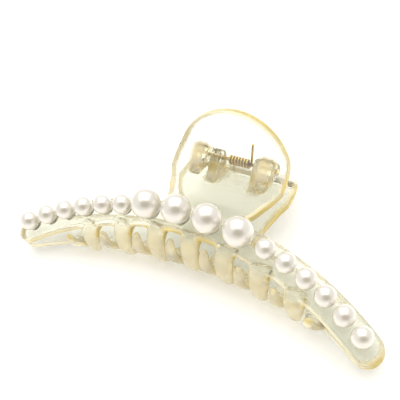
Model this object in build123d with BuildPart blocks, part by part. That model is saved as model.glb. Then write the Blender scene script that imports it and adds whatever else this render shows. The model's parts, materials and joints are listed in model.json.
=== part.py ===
"""Claw clip with pearls: two clear moulded jaws on a sprung pin, closed and lying on the back jaw.

The jaws are laid out in the clip's own directions from the middle of the hinge pin: X along the pin,
"across" from the front jaw to the back jaw, and "rise" from the teeth to the finger levers.
The clip is then laid on its back, so that the back jaw is below: +Z is up, and the floor is z = 0.
"""
import os
from math import asin, atan2, cos, degrees, hypot, pi, radians, sin

from build123d import *

os.makedirs("parts", exist_ok=True)

# ---- driving dimensions, mm and degrees ---------------------------------------------------------
# hinge
pin_diameter = 1.0
pin_clearance = 0.05          # radial, in the inner lugs, which turn on the pin
pin_head_diameter = 1.9
pin_head_thickness = 0.5
pin_tail = 0.6                # the pin's plain end stands out of its lug by this
lug_radius = 2.6
lug_thickness = 3.0
lug_round = 0.4
lug_gap = 0.5                 # between an outer lug and the inner lug beside it
spring_bay = 10.4             # between the two inner lugs
lug_foot_rise = -8.6          # the lug's root reaches down the neck to here
# spring
wire_diameter = 0.7
coil_turns = 7
coil_share = 0.606            # the coil's length over the spring bay's
coil_middle = 0.3             # the coil sits this far along the pin
coil_clearance = 0.3          # radial, between the pin and the coil
arm_length = 8.2
arm_gap = 0.05                # between an arm's end and the lever that it presses on
splay_share = 0.173           # an arm's end lies outside the coil's by this share of the bay
elbow_swell = 1.04            # the wire is this much thicker where an arm bends out of the coil
# lever and neck: one plate, bent in the across-rise plane
plate_thickness = 2.4
lever_width = 34.6
lever_round = 16.6            # from the tip to the widest line
lever_tip = (16.2, 6.6)       # across, rise
lever_bend = (6.0, -0.4)
lever_bend_radius = 5.0
waist = (2.95, -9.4)
waist_radius = 12.0
shoulder_rise = -8.0          # the plate is full width down to here
neck_foot = (4.9, -17.2)
neck_width = 22.0             # where the neck meets the bow
rim_round = 0.5
# bow: an arched strip that carries the pearls and the teeth
bow_radius = 88.6
bow_length = 108.5            # from end to end, in a straight line
bow_width = 8.4
bow_thickness = 2.4
bow_round = 0.9
bow_middle = (8.6, -24.1)     # across, rise: the middle of the strip's outer face
bow_slant = 2.0               # the strip's face leans up from the across direction
arch_slant = 21.8             # the arch's plane leans in from the rise direction
end_gap = 0.2                 # from a bow's end to the plane where the two bows meet
# teeth
tooth_pitch = 10.4
front_teeth = 7
back_teeth = 8
tooth_width = 7.2
tooth_tip_width = 2.4
tooth_thickness = 3.4
tooth_tip_thickness = 1.9
tooth_depth = 10.4             # from the middle of the bow's outer face to the tooth's lowest line
tooth_shrink = 0.3            # towards the bow's ends the depth shrinks by this share of the arch's drop
tooth_reach = 7.2             # the tip passes the plane where the jaws meet by this
tooth_tip_gap = 0.9           # between a tip and the lower edge of the bow over it
tooth_fullness = ((0, 1), (0.3, 1), (0.6, 1), (0.85, 0.96), (0.96, 0.75), (1, 0.35))  # along it
# pearls
large_share = 0.0751          # a large pearl's width over the bow's length
small_share = 0.0507
large_pearls = 4
small_pearls_each_side = 6
large_step = 1.109            # from pearl to pearl along the bow, over their mean width
change_step = 1.158           # from the last large pearl to the first small one
small_step = 1.118
pearl_lift = 0.15             # depth of glue under a pearl
glue_share = 0.62             # a glue spot's width over its pearl's
glue_climb = 0.11             # how far the glue comes up round its pearl, over the pearl's width

# ---- how the clip lies --------------------------------------------------------------------------
# It rests on the rounded tip of the back lever and on the lower edge of the back bow.
slant = radians(bow_slant)
lean = radians(arch_slant)
lever_angle = atan2(lever_tip[1] - lever_bend[1], lever_tip[0] - lever_bend[0])
flat_half = plate_thickness / 2 - rim_round
tip_across = lever_tip[0] - rim_round * cos(lever_angle) + flat_half * sin(lever_angle) + rim_round
tip_rise = lever_tip[1] - rim_round * sin(lever_angle) - flat_half * cos(lever_angle)
edge_across = bow_middle[0] + sin(slant) * bow_width / 2 + bow_round * (1 - sin(slant) - cos(slant))
edge_rise = bow_middle[1] - cos(slant) * (bow_width / 2 - bow_round) - bow_round * sin(slant)
tilt = atan2(tip_across - edge_across, tip_rise - edge_rise)
across_way = Vector(0, sin(tilt), -cos(tilt))
rise_way = Vector(0, cos(tilt), sin(tilt))
hinge_height = edge_across * cos(tilt) - edge_rise * sin(tilt)
end_angle = asin(bow_length / 2 / bow_radius)
round_angle = end_angle - bow_width / 2 / bow_radius
end_drop = bow_radius * (1 - cos(round_angle))
end_across = bow_middle[0] - end_drop * sin(lean)
end_rise = bow_middle[1] - end_drop * cos(lean) - bow_width / 2
far_end = lever_tip[1] * cos(tilt) + lever_tip[0] * sin(tilt)
near_end = end_rise * cos(tilt) - end_across * sin(tilt)
hinge = Vector(0, -(far_end + near_end) / 2, hinge_height)


def way(x, across, rise):
    """A direction given in the clip's own directions."""
    return Vector(x, 0, 0) + across_way * across + rise_way * rise


def spot(x, across, rise):
    """A point given from the middle of the pin."""
    return hinge + way(x, across, rise)


def section(x):
    """The plane across the pin at x, drawn on with (across, rise)."""
    return Plane(origin=spot(x, 0, 0), x_dir=way(0, 1, 0), z_dir=way(1, 0, 0))


def arch_drop(angle):
    """How far the bow has dropped, in its own plane, at an angle from its middle."""
    return bow_radius * (1 - cos(angle))


def bow_plane(side, angle):
    """The plane on a bow's outer face: local X runs along the arch, and Z points out of the face."""
    drop_way = way(0, -side * sin(lean), -cos(lean))
    arch_axis = way(0, cos(lean), -side * sin(lean))
    across = side * bow_middle[0]
    middle = spot(0, across, bow_middle[1])
    here = middle + way(bow_radius * sin(angle), 0, 0) + drop_way * arch_drop(angle)
    along = way(cos(angle), 0, 0) + drop_way * sin(angle)
    out = (
        arch_axis * side * cos(slant + lean)
        - (drop_way * cos(angle) - way(sin(angle), 0, 0)) * sin(slant + lean)
    )
    return Plane(origin=here, x_dir=along, z_dir=out)


# ---- jaws ---------------------------------------------------------------------------------------
inner_lugs = [side * (spring_bay + lug_thickness) / 2 for side in (-1, 1)]
outer_lugs = [x + side * (lug_thickness + lug_gap) for side, x in zip((-1, 1), inner_lugs)]


def plate(side):
    """The finger lever and the neck: a bent plate cut to its outline, with a rounded rim."""
    foot_middle = (bow_middle[0] - cos(slant) * bow_thickness / 2 - sin(slant) * bow_width / 4,
                   bow_middle[1] - sin(slant) * bow_thickness / 2 + cos(slant) * bow_width / 4)
    past_tip = (lever_tip[0] + plate_thickness * cos(lever_angle),
                lever_tip[1] + plate_thickness * sin(lever_angle))
    corners = [past_tip, lever_bend, waist, neck_foot, foot_middle]
    with BuildPart() as made:
        with BuildSketch(section(0)):
            with BuildLine() as bend:
                FilletPolyline(
                    *[(side * across, rise) for across, rise in corners],
                    radius=[lever_bend_radius, waist_radius, waist_radius],
                )
            trace(bend.line, line_width=plate_thickness)
        extrude(amount=0.6 * lever_width, both=True)
        # the lever's round end, cut square to the lever
        down = (-side * cos(lever_angle), -sin(lever_angle))
        lever_plane = Plane(
            origin=spot(0, side * lever_tip[0], lever_tip[1]),
            x_dir=way(1, 0, 0),
            z_dir=way(0, -down[1], down[0]),
        )
        with BuildSketch(lever_plane):
            with Locations((0, lever_round)):
                Ellipse(lever_width / 2, lever_round)
                Rectangle(lever_width, 3 * lever_round, align=(Align.CENTER, Align.MIN))
        extrude(amount=2 * lever_width, both=True, mode=Mode.INTERSECT)
        # the neck's tapering sides
        with BuildSketch(Plane(origin=hinge, x_dir=way(1, 0, 0), z_dir=way(0, -1, 0))):
            for x_side in (-1, 1):
                with BuildLine():
                    Polyline(
                        (x_side * lever_width / 2, shoulder_rise),
                        (x_side * neck_width / 2, foot_middle[1]),
                        (x_side * neck_width / 2, foot_middle[1] - bow_width),
                        (x_side * lever_width, foot_middle[1] - bow_width),
                        (x_side * lever_width, shoulder_rise),
                        close=True,
                    )
                make_face()
        extrude(amount=lever_width, both=True, mode=Mode.SUBTRACT)
        rim = made.edges().filter_by(Axis.X, reverse=True)
        fillet(rim.filter_by(lambda edge: edge.length > 1.5 * plate_thickness), rim_round)
    return made.part


def bow(side):
    """The arched strip, with round ends, cut flat where it would pass the other bow's ends."""
    start = bow_plane(side, -end_angle)
    with BuildPart() as made:
        with BuildSketch(Plane(origin=start.origin, x_dir=start.z_dir, z_dir=start.x_dir)):
            RectangleRounded(bow_thickness, bow_width, bow_round, align=(Align.MAX, Align.CENTER))
        arch_centre = bow_plane(side, 0).origin + way(0, -side * sin(lean), -cos(lean)) * bow_radius
        arch_axis = Axis(arch_centre, way(0, cos(lean), -side * sin(lean)))
        revolve(axis=arch_axis, revolution_arc=degrees(2 * end_angle))
        for x_side in (-1, 1):
            with BuildSketch(bow_plane(side, x_side * round_angle)):
                beyond = Align.MIN if x_side > 0 else Align.MAX
                Rectangle(bow_width, 2 * bow_width, align=(beyond, Align.CENTER))
                Circle(bow_width / 2, mode=Mode.SUBTRACT)
            extrude(amount=bow_width, both=True, mode=Mode.SUBTRACT)
        split(bisect_by=Plane(origin=spot(0, side * end_gap, 0), z_dir=way(0, side, 0)))
    return made.part


def tooth(side, x):
    """A finger that curves from its own bow, under the hair space, to the other bow's lower edge."""
    angle = asin(x / bow_radius)
    drop = arch_drop(angle)
    inward = drop * sin(lean)
    base_rise = bow_middle[1] - drop * cos(lean)
    low = base_rise - tooth_depth + tooth_shrink * drop + tooth_thickness / 2
    root = (side * (bow_middle[0] - tooth_thickness / 2 - inward - bow_round / 4), base_rise - bow_width / 3)
    lowest = (0, low)
    tip_rise = base_rise - bow_width / 2 / cos(angle) - tooth_tip_gap - tooth_tip_thickness / 2
    tip = (-side * (tooth_reach - inward), tip_rise)
    with BuildLine(section(x), mode=Mode.PRIVATE) as curve:
        ThreePointArc(root, lowest, tip)
    line = curve.edges()[0]
    with BuildPart() as made:
        for share, plump in tooth_fullness:
            width = plump * (tooth_width + share * (tooth_tip_width - tooth_width))
            thickness = plump * (tooth_thickness + share * (tooth_tip_thickness - tooth_thickness))
            with BuildSketch(Plane(origin=line @ share, x_dir=way(1, 0, 0), z_dir=line % share)):
                Ellipse(width / 2, thickness / 2)
        loft()
    return made.part


def lug(side, x):
    """An ear round the pin, with a root down the inside of the neck."""
    with BuildPart() as made:
        with BuildSketch(section(x)):
            Circle(lug_radius)
            with Locations((side * (lever_bend[0] - plate_thickness / 4), lever_bend[1] - plate_thickness / 4)):
                Circle(plate_thickness / 4)
            with Locations((side * waist[0], lug_foot_rise)):
                Circle(plate_thickness / 4)
            make_hull()
        extrude(amount=lug_thickness / 2, both=True)
        fillet(made.faces().filter_by(Axis.X).edges(), lug_round)
    return made.part


def jaw(side, teeth, lugs, bore_radius):
    """One moulding: lever, neck, bow, teeth and two bored lugs."""
    with BuildPart() as made:
        add(plate(side))
        add(bow(side))
        for step in range(teeth):
            add(tooth(side, (step - (teeth - 1) / 2) * tooth_pitch))
        for x in lugs:
            add(lug(side, x))
        with BuildSketch(section(0)):
            Circle(bore_radius)
        extrude(amount=lever_width / 2, both=True, mode=Mode.SUBTRACT)
    return made.part


front_jaw = jaw(-1, front_teeth, outer_lugs, pin_diameter / 2)
front_jaw.label = "front_jaw"
export_step(front_jaw, "parts/front_jaw.step")

back_jaw = jaw(1, back_teeth, inner_lugs, pin_diameter / 2 + pin_clearance)
back_jaw.label = "back_jaw"
export_step(back_jaw, "parts/back_jaw.step")

# ---- hinge pin ----------------------------------------------------------------------------------
pin_end = outer_lugs[1] + lug_thickness / 2

with BuildPart() as hinge_pin:
    with BuildSketch(section(-pin_end - pin_tail)):
        Circle(pin_diameter / 2)
    extrude(amount=2 * pin_end + pin_tail)
    with BuildSketch(section(pin_end)):
        Circle(pin_head_diameter / 2)
    extrude(amount=pin_head_thickness)
    fillet(hinge_pin.faces().sort_by(Axis.X)[-1].edges(), pin_head_thickness / 2)

hinge_pin.part.label = "hinge_pin"
export_step(hinge_pin.part, "parts/hinge_pin.step")

# ---- torsion spring -----------------------------------------------------------------------------
wire_radius = wire_diameter / 2
coil_pitch = coil_share * spring_bay / coil_turns
arm_splay = splay_share * spring_bay
coil_radius = pin_diameter / 2 + coil_clearance + wire_radius
# An arm leaves the top of the coil in line with the wire and meets the lever's inner face at its end.
face_height = lever_bend[1] * cos(lever_angle) - lever_bend[0] * sin(lever_angle) + plate_thickness / 2
arm_height = face_height + wire_radius + arm_gap
arm_angle = (lever_angle + asin(arm_height / hypot(arm_length, coil_radius))
             - atan2(coil_radius, arm_length))
turns = coil_turns - arm_angle / pi
coil_length = turns * coil_pitch
coil_start = Plane(
    origin=spot(coil_middle - coil_length / 2, 0, 0),
    x_dir=way(0, -sin(arm_angle), cos(arm_angle)),
    z_dir=way(1, 0, 0),
)

coil = (coil_start * Helix(pitch=coil_pitch, height=coil_length, radius=coil_radius)).edges()[0]

with BuildPart() as torsion_spring:
    with BuildSketch(Plane(origin=coil @ 0, z_dir=coil % 0)):
        Circle(wire_radius)
    sweep(path=coil, is_frenet=True)
    for end, side in ((0, 1), (1, -1)):
        reach = way(-side * arm_splay, side * arm_length * cos(arm_angle), arm_length * sin(arm_angle))
        with BuildSketch(Plane(origin=coil @ end, z_dir=reach)):
            Circle(wire_radius)
        extrude(amount=reach.length)
        with Locations(coil @ end):
            Sphere(elbow_swell * wire_radius)
        with Locations(coil @ end + reach):
            Sphere(wire_radius)

torsion_spring.part.label = "torsion_spring"
export_step(torsion_spring.part, "parts/torsion_spring.step")

# ---- pearls and their glue ----------------------------------------------------------------------
large_pearl = large_share * bow_length
small_pearl = small_share * bow_length
large_spacing = large_step * large_pearl
change_spacing = change_step * (large_pearl + small_pearl) / 2
small_spacing = small_step * small_pearl
half_row = [(large_spacing * (step + 0.5), large_pearl) for step in range(large_pearls // 2)]
last_large = half_row[-1][0]
half_row += [(last_large + change_spacing + small_spacing * step, small_pearl)
             for step in range(small_pearls_each_side)]
row = [(-place, size) for place, size in reversed(half_row)] + half_row
front_bow = bow(-1)

with BuildPart() as pearl_glue:
    for place, size in row:
        seat = bow_plane(-1, place / bow_radius)
        with BuildSketch(seat.offset(-bow_thickness / 2)):
            Circle(glue_share * size / 2)
        extrude(amount=bow_thickness / 2 + pearl_lift + glue_climb * size)
    for place, size in row:
        seat = bow_plane(-1, place / bow_radius)
        ball = Location(seat.offset(size / 2 + pearl_lift)) * Sphere(size / 2, mode=Mode.PRIVATE)
        add(ball, mode=Mode.SUBTRACT)
    add(front_bow, mode=Mode.SUBTRACT)

pearl_glue.part.label = "pearl_glue"
export_step(pearl_glue.part, "parts/pearl_glue.step")

for number, (place, size) in enumerate(row, start=1):
    with BuildPart(bow_plane(-1, place / bow_radius).offset(size / 2 + pearl_lift)) as pearl:
        Sphere(size / 2)
    pearl.part.label = f"pearl_{number:02d}"
    export_step(pearl.part, f"parts/pearl_{number:02d}.step")
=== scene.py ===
import json
import math

import bmesh
import bpy
import numpy as np
from mathutils import Matrix, Vector, noise
from mathutils.bvhtree import BVHTree


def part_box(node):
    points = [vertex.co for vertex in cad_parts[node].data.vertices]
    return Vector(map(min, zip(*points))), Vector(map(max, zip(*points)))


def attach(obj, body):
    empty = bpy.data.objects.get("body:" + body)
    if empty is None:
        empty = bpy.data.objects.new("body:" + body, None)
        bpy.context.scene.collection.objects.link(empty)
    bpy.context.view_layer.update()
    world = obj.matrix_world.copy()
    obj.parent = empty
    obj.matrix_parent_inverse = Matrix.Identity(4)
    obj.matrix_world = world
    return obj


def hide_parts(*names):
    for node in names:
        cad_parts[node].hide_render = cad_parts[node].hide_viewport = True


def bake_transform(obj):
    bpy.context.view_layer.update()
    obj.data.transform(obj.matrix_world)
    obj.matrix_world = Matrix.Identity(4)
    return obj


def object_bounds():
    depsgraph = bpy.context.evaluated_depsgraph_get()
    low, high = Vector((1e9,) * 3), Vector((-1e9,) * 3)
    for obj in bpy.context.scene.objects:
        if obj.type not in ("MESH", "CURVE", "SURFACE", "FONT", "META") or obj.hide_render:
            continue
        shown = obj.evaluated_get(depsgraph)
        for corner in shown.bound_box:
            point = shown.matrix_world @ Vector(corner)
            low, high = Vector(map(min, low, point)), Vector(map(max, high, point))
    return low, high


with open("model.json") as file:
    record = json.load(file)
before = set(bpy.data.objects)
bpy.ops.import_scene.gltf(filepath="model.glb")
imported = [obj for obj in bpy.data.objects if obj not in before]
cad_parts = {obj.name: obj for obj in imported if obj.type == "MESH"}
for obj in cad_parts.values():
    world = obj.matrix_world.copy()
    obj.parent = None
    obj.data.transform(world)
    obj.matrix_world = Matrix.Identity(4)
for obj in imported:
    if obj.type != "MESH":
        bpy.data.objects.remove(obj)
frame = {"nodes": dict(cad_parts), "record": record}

cad_box = [list(corner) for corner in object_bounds()]

# ---- back jaw -----------------------------------------------------------------------------------
# The lower half of the clip: finger lever, neck, bow and eight curved teeth in one piece.
# Injection moulded in one shot from clear champagne acrylic, so every inside corner is softened
# by the mould and every rim is slightly rounded.
MM = 0.001                          # metres
SKIN_SPACING = 0.285 * MM           # the mesh is laid over the moulding at this spacing
WELD = 0.001 * MM                   # points of the CAD skin closer than this are one
SOFTENING = 7                       # passes that round the corners as the mould does
FULL_DEPTH = 18 * MM                # plastic this deep shows its full colour
UNDER_SKIN = 0.02 * MM              # depth is measured from just below the surface
BLEED = 7                           # passes, each about one mesh spacing wide
FADE = 0.86                         # share of the colour kept at each of those passes
LYING_ANGLE = math.radians(13.508)  # teeth to finger levers, up from the floor
BOW_RADIUS = 88.6 * MM
BOW_LEAN = math.radians(21.8)       # the arch, off the line from levers to teeth
BOW_EDGE = -28.3 * MM               # the bow's lower edge at its middle, from the pin
CLOUD_LENGTH = 2.5 * MM             # down a tooth, to where it is fully cloudy
WAVE_WIDTH = 9 * MM
GRAIN_WIDTH = 1.6 * MM

hinge = Vector(frame["record"]["behaviour"]["joints"][0]["pos_m"])
across = Vector((0, math.sin(LYING_ANGLE), -math.cos(LYING_ANGLE)))  # front jaw to back jaw
rise = Vector((0, math.cos(LYING_ANGLE), math.sin(LYING_ANGLE)))     # teeth to finger levers
along = Vector((1, 0, 0))


def linear(hex_colour):
    """An sRGB hex colour as Blender's linear RGBA."""
    values = [int(hex_colour[i:i + 2], 16) / 255 for i in (1, 3, 5)]
    return [v / 12.92 if v <= 0.04045 else ((v + 0.055) / 1.055) ** 2.4 for v in values] + [1.0]


def add_node(tree, kind, settings=None, inputs=None, **links):
    """Adds a node with its settings and socket values, and links outputs to its named sockets."""
    node = tree.nodes.new(kind)
    for key, value in (settings or {}).items():
        setattr(node, key, value)
    for key, value in (inputs or {}).items():
        node.inputs[key].default_value = value
    for key, source in links.items():
        tree.links.new(source, node.inputs[key.replace("_", " ")])
    return node


def new_material(name):
    """An empty node material, and its tree."""
    material = bpy.data.materials.new(name)
    material.use_nodes = True
    material.node_tree.nodes.clear()
    return material, material.node_tree


def new_piece(name, mesh, material, body=None, replaced=()):
    """A smooth-shaded piece with its material, its body and the CAD nodes that it stands for."""
    piece = bpy.data.objects.new(name, mesh)
    bpy.context.scene.collection.objects.link(piece)
    mesh.materials.clear()
    mesh.materials.append(material)
    for face in mesh.polygons:
        face.use_smooth = True
    if body:
        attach(piece, body)
    if replaced:
        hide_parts(*replaced)
    return piece


def moulded(node):
    """The node's solid as one continuous skin with softened corners."""
    mesh = frame["nodes"][node].data.copy()
    welded = bmesh.new()
    welded.from_mesh(mesh)
    bmesh.ops.remove_doubles(welded, verts=welded.verts, dist=WELD)
    welded.to_mesh(mesh)
    welded.free()
    draft = bpy.data.objects.new("draft", mesh)
    bpy.context.scene.collection.objects.link(draft)
    skin = draft.modifiers.new("skin", "REMESH")
    skin.mode = "VOXEL"
    skin.voxel_size = SKIN_SPACING
    soften = draft.modifiers.new("soften", "SMOOTH")
    soften.factor = 0.5
    soften.iterations = SOFTENING
    bpy.context.view_layer.update()
    graph = bpy.context.evaluated_depsgraph_get()
    result = bpy.data.meshes.new_from_object(draft.evaluated_get(graph))
    bpy.data.objects.remove(draft)
    return result


def mark_depth(mesh):
    """Marks each vertex with the depth of plastic behind it and how far down a tooth it is."""
    solid = BVHTree.FromPolygons([v.co for v in mesh.vertices], [p.vertices for p in mesh.polygons])
    depths = []
    for vertex in mesh.vertices:
        inward = -vertex.normal
        hit = solid.ray_cast(vertex.co + inward * UNDER_SKIN, inward, FULL_DEPTH)
        depths.append(1.0 if hit[0] is None else hit[3] / FULL_DEPTH)
    depths = np.array(depths)
    ends = np.array([edge.vertices[:] for edge in mesh.edges])
    for _ in range(BLEED):        # the colour of a rim bleeds into the faces beside it
        bled = depths.copy()
        np.maximum.at(bled, ends[:, 0], depths[ends[:, 1]] * FADE)
        np.maximum.at(bled, ends[:, 1], depths[ends[:, 0]] * FADE)
        depths = bled
    mesh.attributes.new("depth", "FLOAT", "POINT").data.foreach_set("value", depths)
    places = np.array([v.co - hinge for v in mesh.vertices])
    drops = BOW_RADIUS - np.sqrt(BOW_RADIUS ** 2 - places[:, 0] ** 2)
    heights = places @ np.array(rise) + drops * math.cos(BOW_LEAN) - BOW_EDGE
    cloud = np.clip(-heights / CLOUD_LENGTH, 0, 1)
    mesh.attributes.new("cloud", "FLOAT", "POINT").data.foreach_set("value", cloud)
    return mesh


# Champagne acrylic, injection moulded: glass-clear where it is thin, cloudy down the teeth, and
# gold where a rim has centimetres of plastic behind it, with the faint waves of a cooling mould.
acrylic, tree = new_material("champagne_acrylic_moulded")
place = add_node(tree, "ShaderNodeTexCoord").outputs["Object"]
flow = add_node(tree, "ShaderNodeTexNoise", None,
                {"Scale": 1 / WAVE_WIDTH, "Detail": 2.0, "Roughness": 0.45, "Distortion": 0.6},
                Vector=place)
grain = add_node(tree, "ShaderNodeTexNoise", None,
                 {"Scale": 1 / GRAIN_WIDTH, "Detail": 3.0, "Roughness": 0.6}, Vector=place)
wave = add_node(tree, "ShaderNodeBump", None, {"Strength": 0.22, "Distance": 0.25 * MM},
                Height=flow.outputs["Fac"])
skin = add_node(tree, "ShaderNodeBump", None, {"Strength": 0.05, "Distance": 0.02 * MM},
                Height=grain.outputs["Fac"], Normal=wave.outputs["Normal"])
rough = add_node(tree, "ShaderNodeMapRange", None,
                 {"From Min": 0.35, "From Max": 0.7, "To Min": 0.0, "To Max": 0.01},
                 Value=flow.outputs["Fac"])
behind = add_node(tree, "ShaderNodeAttribute", {"attribute_name": "depth"}).outputs["Fac"]
uneven = add_node(tree, "ShaderNodeMath", {"operation": "MULTIPLY_ADD"}, {1: 0.25, 2: -0.125})
tree.links.new(flow.outputs["Fac"], uneven.inputs[0])
gilt = add_node(tree, "ShaderNodeMath", {"operation": "ADD"})
tree.links.new(behind, gilt.inputs[0])
tree.links.new(uneven.outputs["Value"], gilt.inputs[1])
down = add_node(tree, "ShaderNodeAttribute", {"attribute_name": "cloud"}).outputs["Fac"]
hazy = add_node(tree, "ShaderNodeMath", {"operation": "MULTIPLY_ADD"}, {1: 0.22})
tree.links.new(down, hazy.inputs[0])
tree.links.new(gilt.outputs["Value"], hazy.inputs[2])
tint = add_node(tree, "ShaderNodeValToRGB", None, None, Fac=hazy.outputs["Value"])
tint.color_ramp.elements[0].position = 0.16
tint.color_ramp.elements[0].color = linear("#F7F8F4")
tint.color_ramp.elements[1].position = 0.8
tint.color_ramp.elements[1].color = linear("#F8E088")
half_way = tint.color_ramp.elements.new(0.30)
half_way.color = linear("#FFF9E2")
clear = add_node(tree, "ShaderNodeMapRange", None,
                 {"From Min": 0.16, "From Max": 0.45, "To Min": 0.95, "To Max": 0.3},
                 Value=hazy.outputs["Value"])
surface = add_node(tree, "ShaderNodeBsdfPrincipled", None, {"IOR": 1.4},
                   Base_Color=tint.outputs["Color"], Roughness=rough.outputs["Result"],
                   Normal=skin.outputs["Normal"], Transmission_Weight=clear.outputs["Result"])
body_tint = add_node(tree, "ShaderNodeVolumeAbsorption", None,
                     {"Color": linear("#FFF6A8"), "Density": 30.0})
add_node(tree, "ShaderNodeOutputMaterial", None, None,
         Surface=surface.outputs["BSDF"], Volume=body_tint.outputs["Volume"])

new_piece("back_jaw_moulding", mark_depth(moulded("back_jaw")), acrylic,
          "back_half", ["back_jaw"])

# ---- front jaw ----------------------------------------------------------------------------------
# The upper half, with seven teeth that pass between the back jaw's eight, and two outer lugs that
# hold the pin. It comes from the same champagne acrylic as the back jaw and the same kind of mould.
new_piece("front_jaw_moulding", mark_depth(moulded("front_jaw")), acrylic,
          "front_half", ["front_jaw"])

# ---- hinge pin ----------------------------------------------------------------------------------
# A gold-plated steel pin pressed through the outer lugs. One end has a domed, rolled head, and the
# other is cut and lightly peened, which leaves a small bevel.
PIN_SIDES = 40
PIN_RADIUS = 0.5 * MM
PIN_BEVEL = 0.14 * MM
END_CROWN = 0.02 * MM         # rise of the cut end's bevel, and the head fillet's length
HEAD_HEIGHT = 0.5 * MM
HEAD_EDGE = 0.05 * MM         # the head's lower edge is this much smaller than the head
HEAD_FILLET = 0.03 * MM       # out from the shank, under the head
DOME_FULLNESS = 0.6           # under 1 makes the dome squarer than a ball
STREAK_WIDTH = 0.25 * MM      # wider than a drawing die's scratches, so that they show
POINT = 1e-7                  # a radius below this is a point on the axis


def turned(profile, origin, axis, sides):
    """A closed mesh turned round an axis from (distance along it, radius) pairs, ends included."""
    axis = Vector(axis).normalized()
    first = (Vector((0, 0, 1)) - axis * axis.z).normalized()
    second = axis.cross(first)
    shape = bmesh.new()
    rings = []
    for distance, radius in profile:
        centre = Vector(origin) + axis * distance
        if radius < POINT:
            rings.append([shape.verts.new(centre)])
            continue
        rings.append([
            shape.verts.new(centre + (first * math.cos(2 * math.pi * i / sides)
                                      + second * math.sin(2 * math.pi * i / sides)) * radius)
            for i in range(sides)
        ])
    for low, high in zip(rings, rings[1:]):
        for i in range(sides):
            j = (i + 1) % sides
            if len(low) == 1:
                shape.faces.new((low[0], high[j], high[i]))
            elif len(high) == 1:
                shape.faces.new((low[i], low[j], high[0]))
            else:
                shape.faces.new((low[i], low[j], high[j], high[i]))
    bmesh.ops.recalc_face_normals(shape, faces=shape.faces)
    return shape


def as_mesh(shape, name):
    """The bmesh as a mesh of its own."""
    mesh = bpy.data.meshes.new(name)
    shape.to_mesh(mesh)
    shape.free()
    return mesh


# Gold-plated steel, drawn: warm, bright metal with fine streaks along the pin, and a painted
# brown shade on the sides of the spring's turns, where one turn hides the next from the light.
gold, tree = new_material("gold_plated_steel_drawn")
place = add_node(tree, "ShaderNodeTexCoord").outputs["Object"]
stretched = add_node(tree, "ShaderNodeMapping", None, {"Scale": (0.25, 1.0, 1.0)}, Vector=place)
streak = add_node(tree, "ShaderNodeTexNoise", None,
                  {"Scale": 1 / STREAK_WIDTH, "Detail": 3.0, "Roughness": 0.6},
                  Vector=stretched.outputs["Vector"])
colour = add_node(tree, "ShaderNodeValToRGB", None, None, Fac=streak.outputs["Fac"])
colour.color_ramp.elements[0].position = 0.3
colour.color_ramp.elements[0].color = linear("#DDB968")
colour.color_ramp.elements[1].position = 0.65
colour.color_ramp.elements[1].color = linear("#FFE9A6")
# Painted shade: the wire's close mark mixes the gold towards brown on the sides of the turns, where
# the next turn shades them.
close = add_node(tree, "ShaderNodeAttribute", {"attribute_name": "close"}).outputs["Fac"]
turn_shade_mix = add_node(tree, "ShaderNodeMix", {"data_type": "RGBA"})
tree.links.new(close, turn_shade_mix.inputs[0])
tree.links.new(colour.outputs["Color"], turn_shade_mix.inputs[6])
turn_shade_mix.inputs[7].default_value = linear("#80622A")
rough = add_node(tree, "ShaderNodeMapRange", None, {"To Min": 0.14, "To Max": 0.3},
                 Value=streak.outputs["Fac"])
drawn = add_node(tree, "ShaderNodeBump", None, {"Strength": 0.2, "Distance": 0.02 * MM},
                 Height=streak.outputs["Fac"])
surface = add_node(tree, "ShaderNodeBsdfPrincipled", None, {"Metallic": 1.0},
                   Base_Color=turn_shade_mix.outputs[2], Roughness=rough.outputs["Result"],
                   Normal=drawn.outputs["Normal"])
add_node(tree, "ShaderNodeOutputMaterial", None, None, Surface=surface.outputs["BSDF"])

pin_low, pin_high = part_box("hinge_pin")
pin_head_radius = (pin_high.z - pin_low.z) / 2
pin_length = pin_high.x - pin_low.x
under_head = pin_length - HEAD_HEIGHT
dome_angles = [math.radians(degrees) for degrees in (0, 20, 38, 54, 68, 80, 87)]
dome = [(pin_length - HEAD_HEIGHT * (1 - math.sin(angle)),
         pin_head_radius * math.cos(angle) ** DOME_FULLNESS) for angle in dome_angles]
pin_profile = [(0, 0), (END_CROWN, PIN_RADIUS - PIN_BEVEL), (PIN_BEVEL, PIN_RADIUS),
               (under_head - END_CROWN, PIN_RADIUS), (under_head, PIN_RADIUS + HEAD_FILLET),
               (under_head, pin_head_radius - HEAD_EDGE)] + dome + [(pin_length, 0)]
pin_start = Vector((pin_low.x, hinge.y, hinge.z))
new_piece("hinge_pin_brass", as_mesh(turned(pin_profile, pin_start, (1, 0, 0), PIN_SIDES), "pin"),
          gold, "front_half", ["hinge_pin"])

# ---- torsion spring -----------------------------------------------------------------------------
# Round steel wire wound about the pin, gold plated. Its two straight arms press the finger levers
# apart, which keeps the teeth shut, and each arm leaves the coil in a tight bend.
WIRE_RADIUS = 0.35 * MM
WIRE_WELD = 0.0005 * MM
CUT_SHARE = 0.78              # the wire's width at its cut ends
COIL_RADIUS = 1.15 * MM
COIL_TURNS = 7                # less what the arms' angle takes off
COIL_PITCH = 0.9 * MM
COIL_MIDDLE = 0.3 * MM        # along the pin
ARM_LENGTH = 8.2 * MM
ARM_SPLAY = 1.8 * MM
ARM_ANGLE = math.radians(11.6)  # up from the line across the two levers
TURN_POINTS = 30
ARM_POINTS = 12
# The painted shade on the sides of the spring's turns, where they face the next turn:
SIDE_START = 0.45             # a turn's side darkens from here, as the sine of its slope
SIDE_FADE = 0.5               # from there to full brown


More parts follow.
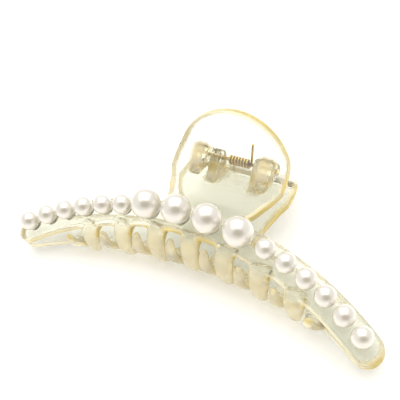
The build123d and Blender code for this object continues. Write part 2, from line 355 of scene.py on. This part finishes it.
def tube(points, radius, name):
    """Round wire along a line of points, with capped ends that are slightly bevelled."""
    curve = bpy.data.curves.new(name, "CURVE")
    curve.dimensions = "3D"
    curve.bevel_depth = radius
    curve.bevel_resolution = 5
    curve.use_fill_caps = True
    line = curve.splines.new("POLY")
    line.points.add(len(points) - 1)
    for i, point in enumerate(points):
        line.points[i].co = (*point, 1)
    for end in (0, -1):
        line.points[end].radius = CUT_SHARE
    holder = bpy.data.objects.new(name, curve)
    bpy.context.scene.collection.objects.link(holder)
    bpy.context.view_layer.update()
    graph = bpy.context.evaluated_depsgraph_get()
    mesh = bpy.data.meshes.new_from_object(holder.evaluated_get(graph))
    bpy.data.objects.remove(holder)
    welded = bmesh.new()
    welded.from_mesh(mesh)
    bmesh.ops.remove_doubles(welded, verts=welded.verts, dist=WIRE_WELD)
    bmesh.ops.recalc_face_normals(welded, faces=welded.faces)
    welded.to_mesh(mesh)
    welded.free()
    return mesh


turns = COIL_TURNS - ARM_ANGLE / math.pi
coil_length = turns * COIL_PITCH
coil_start = COIL_MIDDLE - coil_length / 2
first_way = rise * math.cos(ARM_ANGLE) - across * math.sin(ARM_ANGLE)
second_way = along.cross(first_way)
coil_points = []
coil_steps = int(turns * TURN_POINTS)
for step in range(coil_steps + 1):
    part = step / coil_steps
    turn = 2 * math.pi * turns * part
    coil_points.append(
        hinge + along * (coil_start + coil_length * part)
        + (first_way * math.cos(turn) + second_way * math.sin(turn)) * COIL_RADIUS
    )
arm_rise = rise * math.sin(ARM_ANGLE) * ARM_LENGTH
arm_reach = across * math.cos(ARM_ANGLE) * ARM_LENGTH
left_tip = coil_points[0] + arm_reach + arm_rise - along * ARM_SPLAY
right_tip = coil_points[-1] - arm_reach + arm_rise + along * ARM_SPLAY
arm_shares = [0, 0.006, 0.03] + [i / ARM_POINTS for i in range(1, ARM_POINTS)] + [0.97]
left_arm = [left_tip.lerp(coil_points[0], share) for share in arm_shares]
right_arm = [right_tip.lerp(coil_points[-1], share) for share in arm_shares]
wire_line = left_arm + coil_points + right_arm[::-1]
wire = tube(wire_line, WIRE_RADIUS, "wire")
# Painted shade: each coil vertex is marked by how squarely it faces the next turn, and that mark
# darkens the gold.
closeness = []
for vertex in wire.vertices:      # the sides of a turn that face the next turn
    share = (vertex.co.x - hinge.x - coil_start) / coil_length
    side = max(0.0, (abs(vertex.normal.x) - SIDE_START) / SIDE_FADE)
    closeness.append(side if 0 < share < 1 else 0.0)
wire.attributes.new("close", "FLOAT", "POINT").data.foreach_set("value", closeness)
spring = new_piece("spring_wire", wire, gold, replaced=["torsion_spring"])
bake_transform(spring)

# ---- glue spots ---------------------------------------------------------------------------------
# Clear two-part glue, one spot under each pearl. It wets the bow and climbs the pearl a little, so
# its edge is a hollow curve, and it sets with small bubbles in it.
FACE_LEAN = math.radians(23.8)    # the bow's face, from the arch's plane
GLUE_SHARE = 0.62                 # a spot's width over its pearl's
GLUE_DEPTH = 0.15 * MM
GLUE_SIDES = 36
WET_SHARE = 0.44                  # sine of the angle up to which the glue wets the pearl
SKIRT_STEPS = 6                   # rings up the spot's hollow edge
CLIMB_STEPS = 5                   # rings from there in under the pearl
SEAT_SHARE = 0.3                  # the flat under a pearl, over its width
INNER_RING = 0.55                 # a ring in the spot's flat underside, over its width
RIPPLE_WIDTH = 1.3 * MM           # the glue's edge wanders in ripples of this width
RIPPLE_DEPTH = 0.16 * MM
RIPPLE_TOP = 0.75                 # no ripple above this share of the edge's height
BUBBLE_WIDTH = 0.55 * MM          # larger than real bubbles, so that they show

pearls = []
for node in sorted(name for name in frame["nodes"] if name.startswith(("pearl_0", "pearl_1"))):
    low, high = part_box(node)
    radius = (high.x - low.x) / 2
    centre = (low + high) / 2
    sine = centre.x / (BOW_RADIUS + (radius + GLUE_DEPTH) * math.sin(FACE_LEAN))
    drop_way = across * math.sin(BOW_LEAN) - rise * math.cos(BOW_LEAN)
    arch_axis = across * math.cos(BOW_LEAN) + rise * math.sin(BOW_LEAN)
    inward = drop_way * math.sqrt(1 - sine * sine) - along * sine
    out = -arch_axis * math.cos(FACE_LEAN) - inward * math.sin(FACE_LEAN)
    pearls.append((node, centre, radius, out.normalized()))

glue_shape = bmesh.new()
for node, centre, radius, out in pearls:
    base = centre - out * (radius + GLUE_DEPTH)
    spread = GLUE_SHARE * radius
    rim_rise = GLUE_DEPTH + radius * (1 - math.sqrt(1 - WET_SHARE * WET_SHARE))
    profile = [(0, 0), (0, INNER_RING * spread), (0, spread)]
    for step in range(1, SKIRT_STEPS + 1):
        part = step / SKIRT_STEPS
        hollow = (spread - WET_SHARE * radius) * math.sin(part * math.pi / 2)
        profile.append((rim_rise * part, spread - hollow))
    for step in range(1, CLIMB_STEPS):
        angle = math.asin(WET_SHARE) * (1 - step / CLIMB_STEPS)
        if math.sin(angle) > SEAT_SHARE:
            profile.append((GLUE_DEPTH + radius * (1 - math.cos(angle)), radius * math.sin(angle)))
    seat_rise = GLUE_DEPTH + radius * (1 - math.cos(math.asin(SEAT_SHARE)))
    profile += [(seat_rise, radius * SEAT_SHARE), (seat_rise, 0)]
    spot = turned(profile, base, out, GLUE_SIDES)
    for vertex in spot.verts:
        away = vertex.co - base
        flat = away - out * away.dot(out)
        share = min(1.0, flat.length / spread)
        if away.dot(out) < rim_rise * RIPPLE_TOP and flat.length > POINT:
            ripple = noise.noise(vertex.co / RIPPLE_WIDTH) * RIPPLE_DEPTH
            vertex.co += flat.normalized() * ripple * share ** 3
    part_mesh = as_mesh(spot, "spot")
    glue_shape.from_mesh(part_mesh)
    bpy.data.meshes.remove(part_mesh)

# Epoxy glue, set: clear but faintly milky, wet-looking, with bubbles that catch the light as specks:
# small pits, and a painted highlight of pure white in the colour at each bubble's middle.
glue, tree = new_material("clear_epoxy_set")
place = add_node(tree, "ShaderNodeTexCoord").outputs["Object"]
bubbles = add_node(tree, "ShaderNodeTexVoronoi", {"feature": "F1"}, {"Scale": 1 / BUBBLE_WIDTH},
                   Vector=place)
# Painted highlight: white at each bubble's middle, fading to the glue's faint cream.
bubble_glint_tint = add_node(tree, "ShaderNodeValToRGB", None, None, Fac=bubbles.outputs["Distance"])
bubble_glint_tint.color_ramp.elements[0].position = 0.18
bubble_glint_tint.color_ramp.elements[0].color = linear("#FFFFFF")
bubble_glint_tint.color_ramp.elements[1].position = 0.36
bubble_glint_tint.color_ramp.elements[1].color = linear("#FBF6E6")
pits = add_node(tree, "ShaderNodeBump", None, {"Strength": 0.5, "Distance": 0.12 * MM},
                Height=bubbles.outputs["Distance"])
dull = add_node(tree, "ShaderNodeMapRange", None,
                {"From Max": 0.6, "To Min": 0.3, "To Max": 0.08}, Value=bubbles.outputs["Distance"])
surface = add_node(tree, "ShaderNodeBsdfPrincipled", None,
                   {"Transmission Weight": 0.65, "IOR": 1.45},
                   Base_Color=bubble_glint_tint.outputs["Color"], Roughness=dull.outputs["Result"],
                   Normal=pits.outputs["Normal"])
add_node(tree, "ShaderNodeOutputMaterial", None, None, Surface=surface.outputs["BSDF"])
new_piece("glue_spots", as_mesh(glue_shape, "glue"), glue, "front_half", ["pearl_glue"])

# ---- pearls -------------------------------------------------------------------------------------
# Imitation pearls: moulded ABS balls, dipped in pearl lacquer, with a small flat where each was
# held and is glued down. Four large ones stand in the middle, with six small ones on each side.
PEARL_SIDES = 64
PEARL_RINGS = 40
SEAT_BEVEL = 0.03             # round the flat, over the pearl's radius
PARTING_DEPTH = 0.004         # of the fine groove where the mould's halves met, over the radius
PARTING_WIDTH = 0.02          # in radians round the ball
CLOUD_WIDTH = 3.2 * MM
FLAKE_WIDTH = 0.12 * MM       # coarser than real pearl flakes, so that their satin shows

# ABS, dipped in pearl lacquer: satin and half mirror-like below a glass-smooth top coat, with a
# faint unevenness from dipping and a hint of rose and green.
pearl, tree = new_material("abs_pearl_lacquered")
place = add_node(tree, "ShaderNodeTexCoord").outputs["Object"]
cloud = add_node(tree, "ShaderNodeTexNoise", None,
                 {"Scale": 1 / CLOUD_WIDTH, "Detail": 3.0, "Roughness": 0.5}, Vector=place)
lustre = add_node(tree, "ShaderNodeValToRGB", None, None, Fac=cloud.outputs["Fac"])
lustre.color_ramp.elements[0].position = 0.3
lustre.color_ramp.elements[0].color = linear("#F0ECE2")
lustre.color_ramp.elements[1].position = 0.7
lustre.color_ramp.elements[1].color = linear("#ECECE2")
middle_tone = lustre.color_ramp.elements.new(0.5)
middle_tone.color = linear("#F2EBE2")
flake = add_node(tree, "ShaderNodeTexNoise", None,
                 {"Scale": 1 / FLAKE_WIDTH, "Detail": 1.0}, Vector=place)
satin = add_node(tree, "ShaderNodeMapRange", None, {"To Min": 0.2, "To Max": 0.3},
                 Value=flake.outputs["Fac"])
dip = add_node(tree, "ShaderNodeBump", None, {"Strength": 0.12, "Distance": 0.05 * MM},
               Height=cloud.outputs["Fac"])
surface = add_node(tree, "ShaderNodeBsdfPrincipled", None,
                   {"Metallic": 0.5, "IOR": 1.53, "Coat Weight": 1.0, "Coat Roughness": 0.05,
                    "Coat IOR": 1.5},
                   Base_Color=lustre.outputs["Color"], Roughness=satin.outputs["Result"],
                   Normal=dip.outputs["Normal"])
add_node(tree, "ShaderNodeOutputMaterial", None, None, Surface=surface.outputs["BSDF"])

seat_angle = math.asin(SEAT_SHARE)
for node, centre, radius, out in pearls:
    profile = [(-radius * math.cos(seat_angle), 0),
               (-radius * math.cos(seat_angle), radius * (SEAT_SHARE - SEAT_BEVEL))]
    for step in range(PEARL_RINGS + 1):
        angle = seat_angle + (math.pi - seat_angle) * step / PEARL_RINGS
        groove = PARTING_DEPTH * math.exp(-((angle - math.pi / 2) / PARTING_WIDTH) ** 2)
        reach = radius * math.sin(angle) * (1 - groove)
        profile.append((-radius * math.cos(angle), 0 if step == PEARL_RINGS else reach))
    ball = turned(profile, centre, out, PEARL_SIDES)
    new_piece(f"{node}_bead", as_mesh(ball, node), pearl, "front_half", [node])

# ---- floor, light and camera --------------------------------------------------------------------
# A plain white sweep under soft, even studio light. The side that the camera stands on is a little
# darker, as an open studio is.
FLOOR_HALF = 1.5              # metres
FLOOR_GAP = 0.05 * MM         # so that the clip's lowest faces don't lie in the floor
FIBRE_WIDTH = 2 * MM
LIGHT_BOUNCES = 32            # light crosses many clear walls
LENS = 63                     # millimetres, as the sensor's width is
SENSOR_WIDTH = 36
NEAREST = 0.01                # metres, as the camera's and the lamp's places are
CAMERA_FROM_PIN = Vector((0.0795, -0.1169, 0.1402))
CAMERA_RIGHT = Vector((0.864, 0.472, -0.176))
CAMERA_AHEAD = Vector((-0.436, 0.523, -0.731))
OPEN_WIDTH = 0.85             # the open side's half width and half height, as sines
OPEN_HEIGHT = 0.62
OPEN_RISE = -0.10             # how far it lies above the way to the camera
LAMP_PLACE = Vector((-0.1, 0.25, 0.9))
LAMP_WIDTH = 1.3
LAMP_WATTS = 6.0

bpy.context.scene.view_settings.view_transform = "Standard"
bpy.context.scene.cycles.max_bounces = LIGHT_BOUNCES
bpy.context.scene.cycles.transmission_bounces = LIGHT_BOUNCES

# Paper, seamless and matt: pure white, with a barely visible fibre tone.
paper, tree = new_material("white_paper_sweep")
place = add_node(tree, "ShaderNodeTexCoord").outputs["Object"]
fibre = add_node(tree, "ShaderNodeTexNoise", None, {"Scale": 1 / FIBRE_WIDTH, "Detail": 2.0},
                 Vector=place)
tone = add_node(tree, "ShaderNodeValToRGB", None, None, Fac=fibre.outputs["Fac"])
tone.color_ramp.elements[0].color = linear("#FAFAFA")
tone.color_ramp.elements[1].color = linear("#FEFEFE")
surface = add_node(tree, "ShaderNodeBsdfPrincipled", None,
                   {"Roughness": 0.9, "Emission Color": linear("#FFFFFF"),
                    "Emission Strength": 0.24},
                   Base_Color=tone.outputs["Color"])
add_node(tree, "ShaderNodeOutputMaterial", None, None, Surface=surface.outputs["BSDF"])
floor_shape = bmesh.new()
bmesh.ops.create_grid(floor_shape, x_segments=4, y_segments=4, size=FLOOR_HALF)
floor = bpy.data.objects.new("floor", as_mesh(floor_shape, "floor"))
floor.location.z = cad_box[0][2] - FLOOR_GAP
floor.data.materials.append(paper)
bpy.context.scene.collection.objects.link(floor)

camera_spot = hinge + CAMERA_FROM_PIN
camera_right = CAMERA_RIGHT.normalized()
camera_back = -CAMERA_AHEAD.normalized()
camera_up = camera_back.cross(camera_right).normalized()
camera_right = camera_up.cross(camera_back)
camera = bpy.data.objects.new("camera", bpy.data.cameras.new("camera"))
camera.data.lens = LENS
camera.data.sensor_width = SENSOR_WIDTH
camera.data.clip_start = NEAREST
camera.matrix_world = Matrix.Translation(camera_spot) @ Matrix(
    (camera_right, camera_up, camera_back)).transposed().to_4x4()
bpy.context.scene.collection.objects.link(camera)
bpy.context.scene.camera = camera

world = bpy.data.worlds.new("studio")
bpy.context.scene.world = world
world.use_nodes = True
tree = world.node_tree
tree.nodes.clear()
way = add_node(tree, "ShaderNodeTexCoord").outputs["Generated"]
open_middle = (camera_back + camera_up * OPEN_RISE).normalized()
open_up = (camera_up - open_middle * camera_up.dot(open_middle)).normalized()
sideways = add_node(tree, "ShaderNodeVectorMath", {"operation": "DOT_PRODUCT"})
tree.links.new(way, sideways.inputs[0])
sideways.inputs[1].default_value = camera_right / OPEN_WIDTH
upward = add_node(tree, "ShaderNodeVectorMath", {"operation": "DOT_PRODUCT"})
tree.links.new(way, upward.inputs[0])
upward.inputs[1].default_value = open_up / OPEN_HEIGHT
both = add_node(tree, "ShaderNodeCombineXYZ", None, None,
                X=sideways.outputs["Value"], Y=upward.outputs["Value"])
reach = add_node(tree, "ShaderNodeVectorMath", {"operation": "LENGTH"})
tree.links.new(both.outputs["Vector"], reach.inputs[0])
wall = add_node(tree, "ShaderNodeValToRGB", None, None, Fac=reach.outputs["Value"])
wall.color_ramp.interpolation = "EASE"
wall.color_ramp.elements[0].position = 0.45
wall.color_ramp.elements[0].color = linear("#9A8D6E")
wall.color_ramp.elements[1].position = 1.0
wall.color_ramp.elements[1].color = linear("#FFFEFB")
sky = add_node(tree, "ShaderNodeBackground", None, {"Strength": 0.86},
               Color=wall.outputs["Color"])
add_node(tree, "ShaderNodeOutputWorld", None, None, Surface=sky.outputs["Background"])

lamp = bpy.data.lights.new("overhead_soft_box", "AREA")
lamp.size = LAMP_WIDTH
lamp.energy = LAMP_WATTS
soft_box = bpy.data.objects.new("overhead_soft_box", lamp)
soft_box.location = LAMP_PLACE
soft_box.rotation_euler = (hinge - LAMP_PLACE).to_track_quat("-Z", "Y").to_euler()
bpy.context.scene.collection.objects.link(soft_box)
